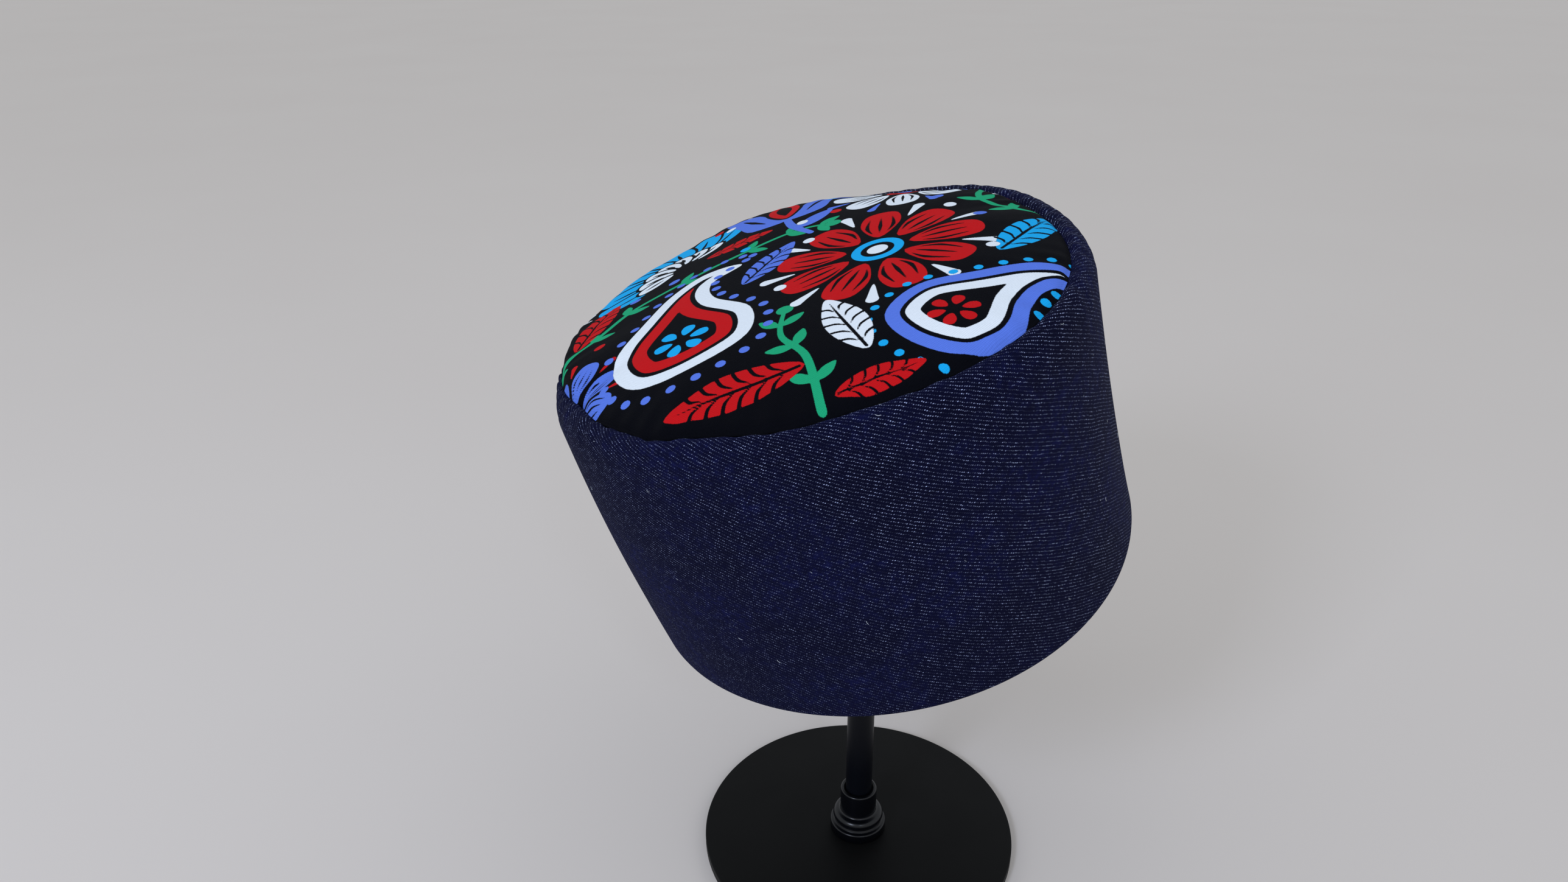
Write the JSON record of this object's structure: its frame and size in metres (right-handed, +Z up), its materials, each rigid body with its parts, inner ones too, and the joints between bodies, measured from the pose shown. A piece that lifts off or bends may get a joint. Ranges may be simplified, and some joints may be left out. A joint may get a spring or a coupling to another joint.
{
  "type": "kufi on a hat stand",
  "caption": "Round brimless cap with a tall denim band and a domed printed crown, held tilted on a round-based hat stand with a turned foot and a rod.",
  "frame": {"origin": "centre of the base plate's underside", "axes": "+Z up along the stand's rod, -Y towards the front of the stand, from where the cap leans to the left (-X) and a little forwards"},
  "size_m": [0.1991, 0.2034, 0.2607],
  "materials": {
    "denim": "raw dark indigo twill, matt",
    "crown_print": "plain-weave cotton, printed in red, blue, white, cyan and green on black",
    "black_steel": "satin black powder coat",
    "black_gloss": "gloss black",
    "black_rod": "satin black",
    "black_plastic": "matt black"
  },
  "bodies": {
    "root": {"band": "denim", "crown_tip": "crown_print", "stand_base": "black_steel", "stand_foot": "black_gloss", "stand_post": "black_rod", "hat_rest": "black_plastic"}
  },
  "joints": []
}
